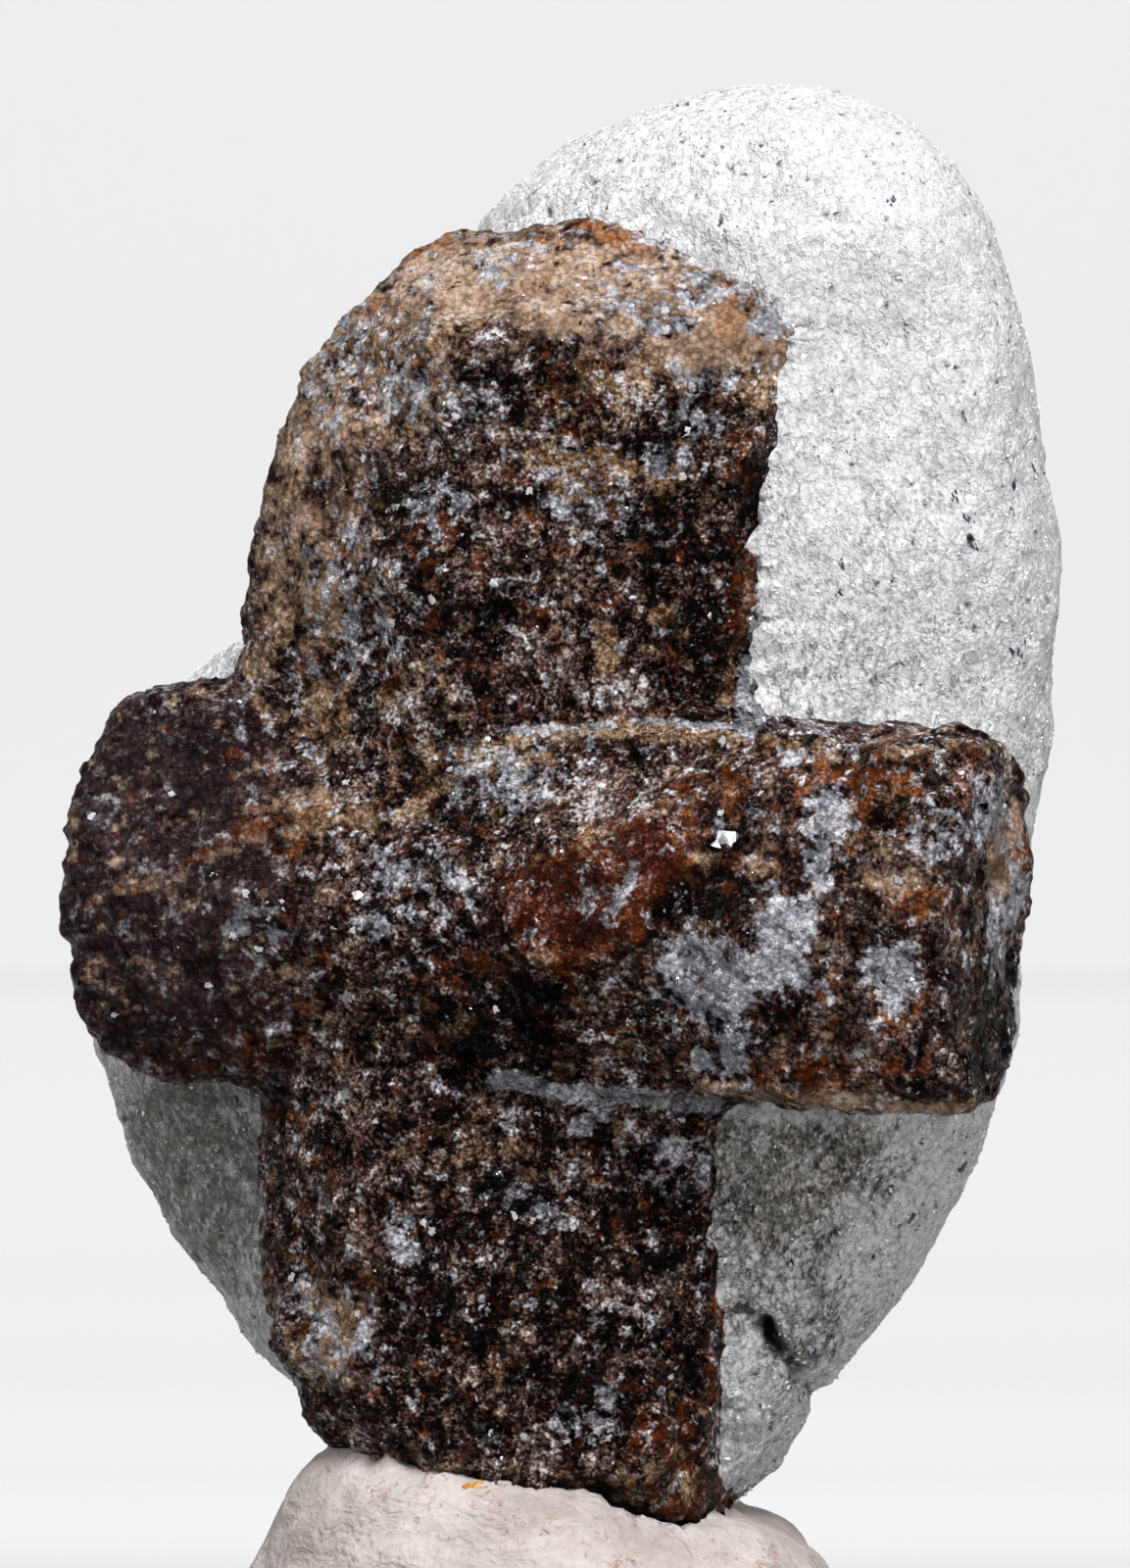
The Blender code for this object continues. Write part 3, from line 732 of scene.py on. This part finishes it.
# A crack starts at the crystal, opens in a hole painted dark as shadow and steps down to a notch
# in the outline.
CRACK = [(3.5, 9.4), (4.5, 9.1), (4.75, 8.6), (4.95, 8.2), (5.5, 7.3)]
CRACK_HOLE = [(4.6, 8.95), (4.8, 8.45)]
CRACK_DEPTH = 0.8
# The crack's painted shadow ends this far back, as y in mm.
CRACK_BACK = 1.0
NOTCH = (5.6, 7.3)
NOTCH_REACH = 0.45
NOTCH_DEPTH = 0.45
# A paler strip of schist along the underside of the crossbar.
UNDER_EDGE = [(3.3, 13.85), (5.4, 13.7), (9.4, 13.3)]
# The colours of its grains, from dark to light: in most places, in the grey patches with their
# painted shade, in flecks.
PALE = shades((0.0, 163, 164, 168), (0.4, 207, 207, 208), (1.0, 236, 234, 233))
DULL_AND_SHADED = shades((0.0, 40, 40, 39), (0.5, 134, 130, 124), (1.0, 222, 217, 209))
DARK = shades((0.0, 24, 27, 32), (1.0, 120, 124, 134))
# Painted shade in pits and between grains.
PIT_SHADE = color(48, 48, 49)
SHADE_BETWEEN_GRAINS = color(50, 52, 56)
# Painted shadow in the crack.
CRACK_SHADOW = color(8, 7, 7)


def schist_relief(points, share):
    """Lumps and seated grains, in millimetres, a little longer up and down than across."""
    lumps = 0.07 * haze(points * (1, 1, 0.6), 1.1, 13) + 0.04 * haze(points, 0.45, 14)
    longer = points * (1, 1, 0.8)
    seated = seated_grains(longer, 0.32, 15, height=0.10, middle=0.4, edge=1.1, fall=1.6)
    return (lumps + seated) * share


def schist_material():
    """Pale quartz grain, duller in the grey patches, which are partly painted shade, with painted
    shade in pits and between grains, dark flecks, and the crack's painted shadow.
    """
    material, paint, shader = new_material("schist")
    grey, crack, _ = stored(paint, "layers")
    right = coordinate(paint, 0).rise(*RIGHT_SIDE)
    level = coordinate(paint, 2)

    # Clouds along the leaning layers, finer clouds, then single grains with ragged edges.
    lean = paint.node("CombineXYZ", {}, {0: (level - LEAN_BELOW).math("MINIMUM", 0.0) * -LEAN})
    slow = cloud(here(paint, (1.0, 1.0, 2.2)).vector("ADD", lean), 0.6, 4.0)
    slow_x, slow_y, slow_z = slow.channels()
    pits, _, _ = cloud(here(paint, (1.3, 1.3, 2.0)).vector("ADD", lean), 0.26, 2.0).channels()
    place = here(paint, (1.0, 1.0, 1.3))
    fast = cloud(place, 0.075, 3.0)
    fast_x, fast_y, fast_z = fast.channels()
    tint_x, tint_y, tint_z, crevice_shade, lift = grains(jog(place, fast, 0.18), SCHIST_GRAIN)

    # The light and dark of the grains, calmer high up and in the grey patch at the left.
    tone = fast_x * 1.6 + slow_z * 0.8 + tint_z * 0.35 - crevice_shade * 0.3 - 0.1
    calm = level.rise(*CALM_TOP).math("MAXIMUM", (1.0 - right) * grey.rise(0.2, 0.6))
    tone = tone.rise(0.75, 1.75) * (1.0 - calm * 0.55) + calm * 0.27
    # Greyer stone, partly painted shade under the crossbar and at the lower left.
    greyed_and_shaded = blotch(grey, (slow_x, 1.3), (fast_y, 0.8), (tint_x, 0.35))
    finish = greyed_and_shaded.mix(tone.ramp(*PALE), tone.ramp(*DULL_AND_SHADED))

    # Painted shade in pits of the grey patches, dark flecks, painted shade in the gaps between
    # grains, and the crack's painted shadow.
    pitted = pits.rise(0.62, 0.68) * grey.rise(0.15, 0.6) * right
    finish = (pitted * 0.75).mix(finish, PIT_SHADE)
    flecked = slow_y + fast_z * 1.6 + tint_y * 0.4 + grey * 0.12 - calm * 0.1
    finish = flecked.rise(1.87, 1.99).mix(finish, tone.ramp(*DARK))
    finish = (crevice_shade * (0.03 + grey * 0.2)).mix(finish, SHADE_BETWEEN_GRAINS)
    finish = crack.mix(finish, CRACK_SHADOW)

    # Fine relief, and a hard shine on some of the grains.
    bump = bumps(paint, lift * 0.75 + fast_x * 0.08 - pitted * 0.1)
    fill(paint, shader, {"Base Color": finish, "Roughness": 0.5, "Normal": bump,
                         "Specular IOR Level": 0.3})
    glassy = (tint_y > 0.85) * (1.0 - crack)
    sparkle(paint, shader, glassy, {"Base Color": finish, "Roughness": 0.1, "Normal": bump})
    return material


def close_on(piece, tree, reach, bite, heap=0.0):
    """Draws a mesh on to a surface that it lies within reach of, so that they meet with that bite,
    and heaps it up there. Returns where the mesh lies in the open."""
    points, normals = places(piece)
    gap, near = clearance(points, tree, reach)
    pull = np.clip((reach - gap) / (0.45 * reach), 0.0, 1.0)
    step = near - points
    length = np.maximum(np.linalg.norm(step, axis=1), 1e-6)
    points += step / length[:, None] * (pull * (gap + bite))[:, None]
    points += normals * (heap * pull)[:, None]
    move(piece, points)
    return in_the_open(gap)


schist = fine_copy("schist_matrix", "schist_stone", SCHIST_CELL, softening=5)
schist_open = close_on(schist, twin_surface, reach=0.7, bite=0.25, heap=0.25)
points, normals = places(schist)
points = shuffled(points, normals, SCHIST_CELL, 12)

# The crack and the notch are cut in, with the grain.
crack = strokes(points, normals, [(CRACK[2:], 0.08, 0.6), (CRACK_HOLE, 0.16, 1.0)], 95)
notch = np.hypot(points[:, 0] - NOTCH[0], points[:, 2] - NOTCH[1]) / NOTCH_REACH
sunk = np.maximum(CRACK_DEPTH * crack, NOTCH_DEPTH * np.clip(1.0 - notch, 0.0, 1.0))
relief = schist_relief(points, COVERED + (1.0 - COVERED) * schist_open)
points += normals * (relief - sunk)[:, None]
hang(points)
move(schist, points)
thin_hidden(schist, schist_open, SCHIST_TRIANGLES)
points, normals = places(schist)

# Grey, partly painted shade, in the patches and on the lower sides and back, but not along the
# crossbar's underside.
grey_and_shade_share = spots(points, normals, GREY_AND_SHADE_PATCHES, 81)
low = np.clip((LOW_BELOW - points[:, 2]) / 5.0, 0.0, 1.0) * np.clip(0.5 + normals[:, 1], 0.0, 1.0)
grey_and_shade_share = np.maximum(grey_and_shade_share, 0.6 * low)
grey_and_shade_share *= 1.0 - strokes(points, normals, [(UNDER_EDGE, 0.28, 0.9)], 97)

# The walls of the crack get painted shadow too, whichever way they face.
inside = np.tile((0.0, -1.0, 0.0), (len(points), 1))
crack = strokes(points, inside, [(CRACK, 0.06, 0.9), (CRACK_HOLE, 0.17, 1.0)], 95)
crack *= np.clip(CRACK_BACK - points[:, 1], 0.0, 1.0)
write_values(schist, "layers", grey_and_shade_share, crack)
schist.data.materials.append(schist_material())
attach(schist, "root")
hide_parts("schist_matrix")

# Sugar grains on the schist
# Loose-looking quartz grains that stand out of the worn surface of the schist, and creep over the
# edges of the crystals.

SUGAR_COUNT = 22993
# How deep each grain sits, as a share of its radius.
SUGAR_SUNK = 0.2
# White grains left on the crystals: x, z and radius in mm, as seen from the front.
WHITE_GRAINS = [(3.55, 19.75, 0.32), (3.38, 19.68, 0.24), (3.72, 19.78, 0.24), (3.3, 24.6, 0.12),
                (-1.6, 21.9, 0.13), (2.8, 28.7, 0.1), (-4.45, 18.5, 0.16)]

# They are thickest in the seam along the crystals, and rare in the grey patches and the crack.
gap, _ = clearance(points, twin_surface, 0.6)
weight = np.clip((gap - 0.05) / 0.1, 0.0, 1.0) * np.clip(1.1 - grey_and_shade_share, 0.0, 1.0)
seam = np.clip(1.0 - gap / 0.4 + 0.5 * haze(points, 0.5, 113), 0.0, 1.0)
weight *= (1.0 - crack) * (1.0 + 7.0 * seam)
chosen, dice = sown(weight, SUGAR_COUNT, 111)
spot, out = points[chosen], normals[chosen]
radii = 0.03 + 0.05 * dice.random(SUGAR_COUNT) * (1.0 + seam[chosen])
white, white_out, white_radii = on_front(twin_surface, WHITE_GRAINS)
spot = np.vstack([spot - out * (SUGAR_SUNK * radii)[:, None], white])
out = np.vstack([out, white_out])
radii = np.concatenate([radii, white_radii])
sugar = crumbs("sugar_grains", spot, out, radii, 112)
sugar.data.materials.append(crumb_material(
    "sugar_grains", 0.25, 2.0, (0.38, 0.60), (176, 178, 184), (250, 250, 250), {"Roughness": 0.2}))
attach(sugar, "root")

# Dark flecks in the schist
# Small flakes of dark mica and tourmaline set in the quartz, longer than wide, most of them lying
# along the layers.

# The flecks that the photo shows: x, z and half length in mm, as seen from the front.
FLECKS = [
    (3.55, 33.25, 0.14), (3.6, 32.95, 0.12), (7.3, 33.75, 0.12), (8.65, 27.15, 0.15),
    (8.98, 26.75, 0.16), (9.02, 26.4, 0.18), (9.1, 26.1, 0.12), (6.2, 25.75, 0.12),
    (6.1, 25.1, 0.11), (10.1, 23.9, 0.16), (10.0, 27.4, 0.14), (7.3, 11.85, 0.14),
    (7.75, 11.3, 0.17), (5.75, 10.6, 0.15), (5.1, 10.3, 0.12), (8.95, 12.4, 0.2),
    (8.0, 13.0, 0.1), (5.65, 8.1, 0.18), (6.0, 8.3, 0.14), (5.9, 9.1, 0.1), (7.6, 30.9, 0.1)]
FLAKES_A_FLECK = 4
# The way that the flakes lie, and their width against their length.
ALONG_LAYERS = (1.0, 0.3, 0.35)
FLAKE_WIDTH = (0.3, 0.6)
# Besides those, small flakes strewn as the sugar grains are.
STREWN_COUNT = 260

schist_surface = surface(schist)
dice = np.random.default_rng(123)
clusters = [(x + dice.normal(0.0, 0.35) * half, z + dice.normal(0.0, 0.7) * half,
             half * dice.uniform(0.45, 1.0))
            for x, z, half in FLECKS for _ in range(FLAKES_A_FLECK)]
placed, placed_out, placed_radii = on_front(schist_surface, clusters)
chosen, dice = sown(weight, STREWN_COUNT, 121)
spot = np.vstack([placed, points[chosen]])
out = np.vstack([placed_out, normals[chosen]])
radii = np.concatenate([placed_radii, 0.03 + 0.07 * dice.random(STREWN_COUNT) ** 2])
beside = np.tile(ALONG_LAYERS, (len(spot), 1))
flecks = crumbs("mica_flecks", spot, out, radii, 122, across=FLAKE_WIDTH, beside=beside)
flecks.data.materials.append(crumb_material(
    "mica", 0.2, 1.0, (0.4, 0.6), (26, 31, 40), (86, 93, 106), {"Roughness": 0.35}))
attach(flecks, "root")

# The putty
# A soft lump of creamy pink putty, pressed flat below and dented by the tip of the upright.

PUTTY_CELL = 0.14
# In front of the corner the putty dips: the middle of the dip as x, its half width and its depth.
DIP_X = 2.6
DIP_HALF = 1.6
DIP_DEPTH = 0.4


def putty_relief(points):
    """Soft lumps with winding folds pressed into them, in millimetres."""
    bent = points + 0.5 * np.stack([haze(points, 1.5, 35 + k) for k in range(3)], axis=1)
    folds = np.clip(1.0 - np.abs(haze(bent * (0.6, 1.0, 1.3), 1.5, 38)) * 2.0, 0.0, 1.0)
    return 0.12 * haze(points, 2.4, 33) + 0.04 * haze(points, 0.7, 34) - 0.09 * folds


def putty_material():
    """Creamy pink, cloudy and wrinkled, with thin red-brown veins and specks of dirt."""
    material, paint, shader = new_material("putty")
    place = here(paint)
    slow = cloud(place, 2.2, 3.0)
    slow_x, slow_y, _ = slow.channels()
    fast_x, fast_y, _ = cloud(place, 0.2, 4.0).channels()
    crumpled = jog(here(paint, (2.2, 2.2, 1.0)), slow, 2.0)
    wrinkle_x, wrinkle_y, wrinkle_z = cloud(crumpled, 0.5, 3.0).channels()
    tone = (slow_x * 1.4 + wrinkle_x + fast_x * 0.6).rise(1.2, 1.8)
    finish = tone.mix(color(167, 156, 151), color(200, 191, 187))
    veins = (wrinkle_y - 0.5).math("ABSOLUTE", 0.0).rise(0.018, 0.004) * slow_y.rise(0.5, 0.6)
    finish = (veins * 0.8).mix(finish, color(160, 116, 102))
    speckled = (fast_y + slow_y * 0.15).rise(0.70, 0.78)
    finish = (speckled * 0.7).mix(finish, color(120, 100, 92))
    bump = bumps(paint, fast_x * 0.1 + wrinkle_z * 0.24, 0.8)
    fill(paint, shader, {"Base Color": finish, "Roughness": 0.75, "Normal": bump})
    return material


putty = fine_copy("putty_lump", "putty", PUTTY_CELL, softening=6)
close_on(putty, twin_surface, reach=0.6, bite=0.03)
close_on(putty, schist_surface, reach=0.35, bite=0.03)
points, normals = places(putty)
dip = np.clip(1.2 - np.abs(points[:, 0] - DIP_X) / DIP_HALF, 0.0, 1.0)
dip *= np.clip(0.4 - points[:, 1], 0.0, 1.0) * np.clip((points[:, 2] - 2.5) / 1.5, 0.0, 1.0)
points[:, 2] -= DIP_DEPTH * dip

# The relief fades out towards the flat underside.
off_floor = np.clip(points[:, 2] / 0.6, 0.0, 1.0)
points += normals * (putty_relief(points) * off_floor)[:, None]
points[:, 2] = np.maximum(points[:, 2], 0.0)
move(putty, points)
putty.data.materials.append(putty_material())
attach(putty, "root")
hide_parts("putty_lump")

# The amber chip
# A tiny splinter of honey-coloured crystal that has dropped on to the putty's front shoulder.

# Along the chip: x, z and radius in mm, as seen from the front.
CHIP = [(-2.12, 5.42, 0.09), (-2.0, 5.44, 0.13), (-1.86, 5.46, 0.15), (-1.74, 5.51, 0.12)]

spot, out, radii = on_front(surface(putty), CHIP)
beside = np.tile((0.3, 0.2, 1.0), (len(CHIP), 1))
chip = crumbs("amber_chip", spot, out, radii, 131, across=(0.6, 0.8), beside=beside)
chip.data.materials.append(crumb_material(
    "amber_chip", 0.25, 2.0, (0.4, 0.6), (150, 84, 18), (222, 160, 52), {"Roughness": 0.2}))
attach(chip, "root")

# Floor, light and camera
# A pale sweep, a soft light from above the front, weaker ones from the left and the right, two on
# the backdrop, and a long lens that looks along +Y from just above the specimen's middle.

# The photo's size in pixels, how many of them make a millimetre, and the height of its top edge.
FRAME_PX = (1153, 1600)
PX_PER_MM = 46.0
FRAME_TOP = 38.2
AIM = Vector((0.1, 0.0, FRAME_TOP - FRAME_PX[1] / 2 / PX_PER_MM)) * MM
CAMERA_AWAY = 450.0 * MM
CAMERA_RISE = math.radians(1.5)
SENSOR_HEIGHT = 24.0
# Each light gives its name, its place and target in mm, its width and height in mm, and watts.
LIGHTS = [("key", (20, -205, 275), (0, 0, 18), (100, 100), 1.3),
          ("fill_left", (-220, -420, 160), (0, 0, 18), (200, 200), 0.5),
          ("fill_right", (320, -330, 20), (0, 0, 18), (200, 160), 0.95),
          ("backdrop_low", (0, 40, 170), (0, 540, 80), (500, 120), 3.6),
          ("backdrop_high", (0, 40, 420), (0, 600, 200), (600, 200), 3.6)]
# The floor is a little lighter where less light reaches it: y in mm and the grey there.
FLOOR_GREYS = [(60, 135), (90, 123), (140, 119), (200, 128), (290, 150), (350, 165), (425, 183),
               (470, 188), (490, 181), (505, 176), (530, 169), (565, 165)]


def sweep():
    """A floor that curves up into a backdrop behind the object."""
    half, front, back = 900, -900, 600
    top, bend = 1100, 140
    profile = [(front, 0.0), (back - bend, 0.0)]
    profile += [(back - bend + bend * math.sin(a), bend - bend * math.cos(a))
                for a in np.linspace(0.1, math.pi / 2, 12)]
    profile.append((back, top))
    vertices = [(x * MM, y * MM, z * MM) for y, z in profile for x in (-half, half)]
    faces = [(2 * i, 2 * i + 1, 2 * i + 3, 2 * i + 2) for i in range(len(profile) - 1)]
    mesh = bpy.data.meshes.new("floor")
    mesh.from_pydata(vertices, [], faces)
    mesh.shade_smooth()
    floor = bpy.data.objects.new("floor", mesh)
    bpy.context.scene.collection.objects.link(floor)
    material, paint, shader = new_material("floor")
    greys = shades(*((distance, grey, grey, grey) for distance, grey in FLOOR_GREYS))
    finish = coordinate(paint, 1).ramp(*greys)
    fill(paint, shader, {"Base Color": finish, "Roughness": 0.9, "Specular IOR Level": 0.1})
    mesh.materials.append(material)


def soft_light(name, place, target, size, power):
    """A rectangular light at a place, turned towards its target."""
    data = bpy.data.lights.new(name, "AREA")
    data.shape = "RECTANGLE"
    data.size, data.size_y = size[0] * MM, size[1] * MM
    data.energy = power
    light = bpy.data.objects.new(name, data)
    light.location = Vector(place) * MM
    direction = Vector(target) * MM - light.location
    light.rotation_euler = direction.to_track_quat("-Z", "Y").to_euler()
    bpy.context.scene.collection.objects.link(light)


sweep()
for name, place, target, size, power in LIGHTS:
    soft_light(name, place, target, size, power)
world = bpy.data.worlds.new("studio")
world.use_nodes = True
air = world.node_tree.nodes["Background"]
air.inputs["Color"].default_value = color(243, 248, 255)
air.inputs["Strength"].default_value = 0.12
bpy.context.scene.world = world
bpy.context.scene.view_settings.view_transform = "Standard"

lens = bpy.data.cameras.new("camera")
lens.sensor_fit = "VERTICAL"
lens.sensor_height = SENSOR_HEIGHT
lens.lens = SENSOR_HEIGHT * CAMERA_AWAY / MM / (FRAME_PX[1] / PX_PER_MM)
lens.clip_start = 0.01
camera = bpy.data.objects.new("camera", lens)
camera.location = AIM + Vector((0.0, -math.cos(CAMERA_RISE), math.sin(CAMERA_RISE))) * CAMERA_AWAY
camera.rotation_euler = (math.pi / 2 - CAMERA_RISE, 0.0, 0.0)
bpy.context.scene.collection.objects.link(camera)
bpy.context.scene.camera = camera
